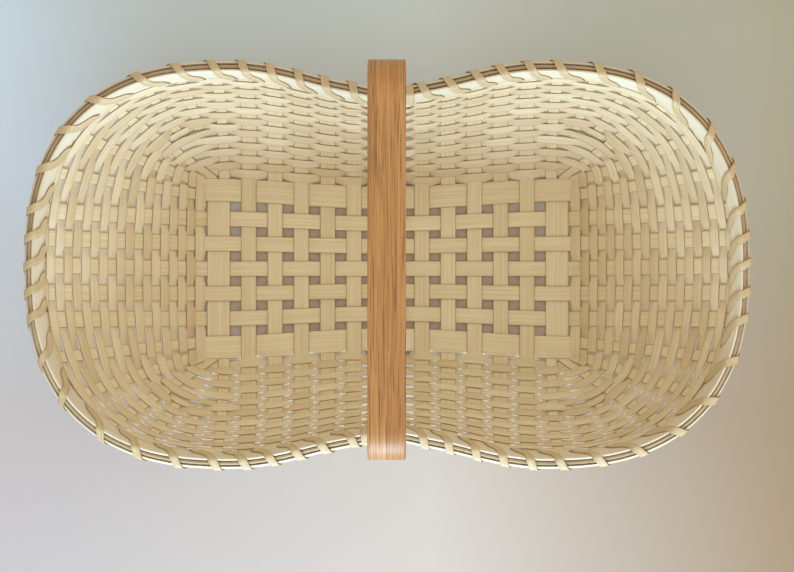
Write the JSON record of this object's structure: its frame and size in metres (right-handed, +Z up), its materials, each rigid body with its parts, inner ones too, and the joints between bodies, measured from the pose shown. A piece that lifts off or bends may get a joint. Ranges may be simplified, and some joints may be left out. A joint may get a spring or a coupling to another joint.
{
  "type": "foraging basket",
  "caption": "Hourglass-plan gathering basket woven of flat reed, with an open plain-woven base, flared packed walls, a lashed rim and a fixed square-shouldered hoop handle.",
  "frame": {"origin": "middle of the basket's plan, on the surface that it stands on", "axes": "+X along the basket's length, across the handle's plane; +Y along the handle's span; +Z up"},
  "size_m": [0.5542, 0.3144, 0.305],
  "materials": {
    "stake_reed": "dry matt",
    "weaver_reed": "dry matt",
    "rim_reed": "dry satin",
    "filler_strand": "matt",
    "handle_oak": "oiled satin"
  },
  "bodies": {
    "root": {"handle_hoop": "handle_oak", "cross_stake_left_1": "stake_reed", "cross_stake_left_2": "stake_reed", "cross_stake_left_3": "stake_reed", "cross_stake_left_4": "stake_reed", "cross_stake_left_5": "stake_reed", "cross_stake_left_6": "stake_reed", "cross_stake_right_1": "stake_reed", "cross_stake_right_2": "stake_reed", "cross_stake_right_3": "stake_reed", "cross_stake_right_4": "stake_reed", "cross_stake_right_5": "stake_reed", "cross_stake_right_6": "stake_reed", "long_stake_middle": "stake_reed", "long_stake_front_1": "stake_reed", "long_stake_front_2": "stake_reed", "long_stake_front_3": "stake_reed", "long_stake_back_1": "stake_reed", "long_stake_back_2": "stake_reed", "long_stake_back_3": "stake_reed", "corner_spoke_back_left_1": "stake_reed", "corner_spoke_back_left_2": "stake_reed", "corner_spoke_back_right_1": "stake_reed", "corner_spoke_back_right_2": "stake_reed", "corner_spoke_front_left_1": "stake_reed", "corner_spoke_front_left_2": "stake_reed", "corner_spoke_front_right_1": "stake_reed", "corner_spoke_front_right_2": "stake_reed", "weaver_row_01": "weaver_reed", "weaver_row_02": "weaver_reed", "weaver_row_03": "weaver_reed", "weaver_row_04": "weaver_reed", "weaver_row_05": "weaver_reed", "weaver_row_06": "weaver_reed", "weaver_row_07": "weaver_reed", "weaver_row_08": "weaver_reed", "weaver_row_09": "weaver_reed", "weaver_row_10": "weaver_reed", "weaver_row_11": "weaver_reed", "weaver_row_12": "weaver_reed", "weaver_row_13": "weaver_reed", "weaver_row_14": "weaver_reed", "weaver_row_15": "weaver_reed", "weaver_row_16": "weaver_reed", "weaver_row_17": "weaver_reed", "weaver_row_18": "weaver_reed", "rim_row": "weaver_reed", "inner_rim": "rim_reed", "outer_rim": "rim_reed", "rim_filler_left": "filler_strand", "rim_filler_right": "filler_strand", "rim_lashing": "rim_reed"}
  },
  "joints": []
}
